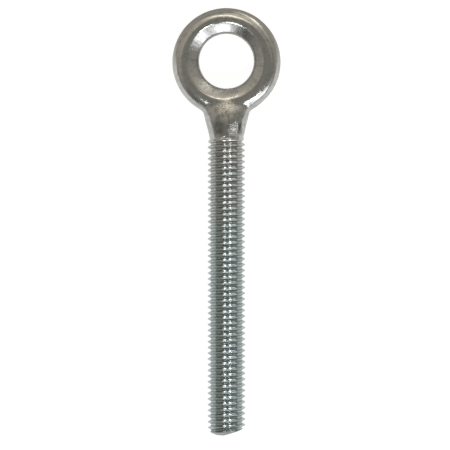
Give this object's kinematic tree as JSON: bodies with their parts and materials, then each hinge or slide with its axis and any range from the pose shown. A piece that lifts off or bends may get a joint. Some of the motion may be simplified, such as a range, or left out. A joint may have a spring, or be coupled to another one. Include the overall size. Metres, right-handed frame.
{
  "type": "eye screw",
  "caption": "Forged steel eye screw: a round eye with a coned hole, a tapered neck and a long shank with a right-hand M10 coarse thread down to a sheared tip.",
  "frame": {"origin": "centre of the hole of the eye, on the mid-plane of the eye", "axes": "+Z along the hole, upwards as the screw lies flat; -Y along the shank towards the tip; +X across the eye"},
  "size_m": [0.0286, 0.1121, 0.01],
  "materials": {
    "zinc_plated_steel": "bright zinc plating over a forged eye and a rolled thread"
  },
  "bodies": {
    "root": {"eye_screw": "zinc_plated_steel"}
  },
  "joints": []
}
